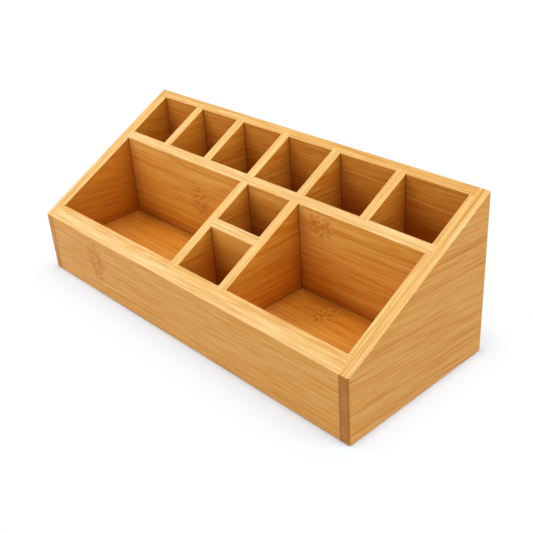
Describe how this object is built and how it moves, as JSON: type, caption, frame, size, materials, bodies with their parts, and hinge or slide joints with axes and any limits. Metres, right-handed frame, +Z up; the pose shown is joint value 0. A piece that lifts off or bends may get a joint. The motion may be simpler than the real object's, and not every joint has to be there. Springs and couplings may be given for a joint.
{
  "type": "desk organizer",
  "caption": "Open-topped bamboo desk organizer with a rim that slopes down to the front, upright slots at the back, large bays and small wells in front.",
  "frame": {"origin": "the middle of the footprint, on the surface that the organizer stands on", "axes": "+X runs to the right along the organizer's length, seen from its low front; +Y runs from the low front to the high back; +Z is up"},
  "size_m": [0.322, 0.128, 0.1153],
  "materials": {
    "side_board": "clear satin lacquer over bamboo strips, grain from front to back",
    "front_board": "clear satin lacquer over bamboo strips, grain from left to right",
    "back_board": "clear satin lacquer over bamboo strips, grain from left to right",
    "floor_board": "clear satin lacquer over bamboo strips, grain from left to right",
    "wall_board": "clear satin lacquer over bamboo strips, grain from left to right",
    "divider_board": "clear satin lacquer over bamboo strips, grain from front to back"
  },
  "bodies": {
    "root": {"left_side": "side_board", "right_side": "side_board", "front_panel": "front_board", "back_panel": "back_board", "floor_panel": "floor_board", "long_wall": "wall_board", "well_divider": "wall_board", "left_bay_divider": "divider_board", "right_bay_divider": "divider_board", "slot_divider_1": "divider_board", "slot_divider_2": "divider_board", "slot_divider_3": "divider_board", "slot_divider_4": "divider_board", "slot_divider_5": "divider_board"}
  },
  "joints": []
}
